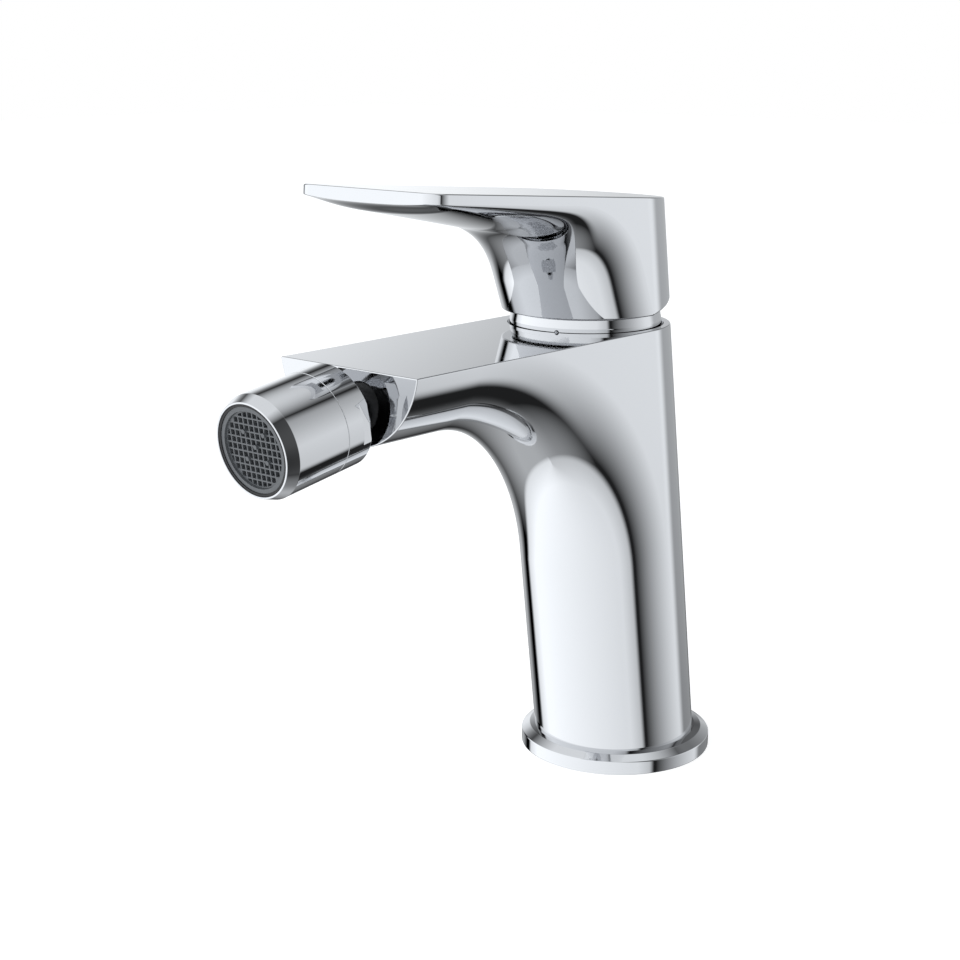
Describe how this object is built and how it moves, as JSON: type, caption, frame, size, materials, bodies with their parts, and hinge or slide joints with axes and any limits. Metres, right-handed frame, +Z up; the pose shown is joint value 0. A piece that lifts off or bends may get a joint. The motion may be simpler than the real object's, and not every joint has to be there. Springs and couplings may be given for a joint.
{
  "type": "bidet mixer",
  "caption": "Single-lever bidet mixer with a leaning round column, a flat-topped spout and a tilting ball-jointed aerator nozzle.",
  "frame": {"origin": "centre of the base's underside, on the deck", "axes": "+Z up from the deck, -Y towards the spout's nozzle, X across; the part is symmetric about X = 0"},
  "size_m": [0.05, 0.1533, 0.1531],
  "materials": {
    "chrome": "polished chrome plate",
    "brass": "turned",
    "steel": "turned stainless steel",
    "ceramic": "lapped",
    "white_plastic": "moulded",
    "grey_plastic": "moulded",
    "black_plastic": "moulded",
    "black_rubber": "moulded"
  },
  "bodies": {
    "mixer_body": {"body": "chrome", "base_flange": "chrome", "base_gasket": "black_rubber", "collar": "chrome", "cartridge_nut": "brass", "cartridge_housing": "white_plastic", "housing_seal": "black_rubber", "cartridge_base": "white_plastic", "inlet_seals": "black_rubber", "fixed_disc": "ceramic", "ball_nipple": "black_plastic", "nipple_seal": "black_rubber"},
    "turn_stage": {"lever_carrier": "white_plastic", "pivot_pin": "steel"},
    "handle": {"lever": "chrome", "spindle": "steel", "grub_screw": "steel", "screw_plug": "grey_plastic"},
    "valve_slide": {"moving_disc": "ceramic", "disc_driver": "grey_plastic"},
    "seat_stage": {"ball_seat": "black_plastic"},
    "nozzle": {"swivel_socket": "chrome", "aerator_housing": "chrome", "inlet_screen": "steel", "mixing_disc": "white_plastic", "aerator_insert": "grey_plastic", "aerator_ring": "black_rubber", "outlet_grid": "grey_plastic"}
  },
  "joints": [
    {"name": "lever_turn", "type": "hinge", "parent": "mixer_body", "child": "turn_stage", "pos_m": [0, -0.0155, 0.109], "axis": [0, 0, 1], "range_deg": [-45, 45]},
    {"name": "lever_lift", "type": "hinge", "parent": "turn_stage", "child": "handle", "pos_m": [0, -0.0155, 0.109], "axis": [-1, 0, 0], "range_deg": [0, 13]},
    {"name": "disc_slide", "type": "slide", "parent": "turn_stage", "child": "valve_slide", "axis": [0, -1, 0], "range_m": [0, 0.0027]},
    {"name": "nozzle_yaw", "type": "hinge", "parent": "mixer_body", "child": "seat_stage", "pos_m": [0, -0.1071, 0.105], "axis": [0, 0, 1], "range_deg": [-14, 14]},
    {"name": "nozzle_pitch", "type": "hinge", "parent": "seat_stage", "child": "nozzle", "pos_m": [0, -0.1071, 0.105], "axis": [1, 0, 0], "range_deg": [-23.2, 4.8]}
  ],
  "couplings": [
    {"joint": "disc_slide", "follows": "lever_lift", "m_per_rad": 0.011649}
  ]
}
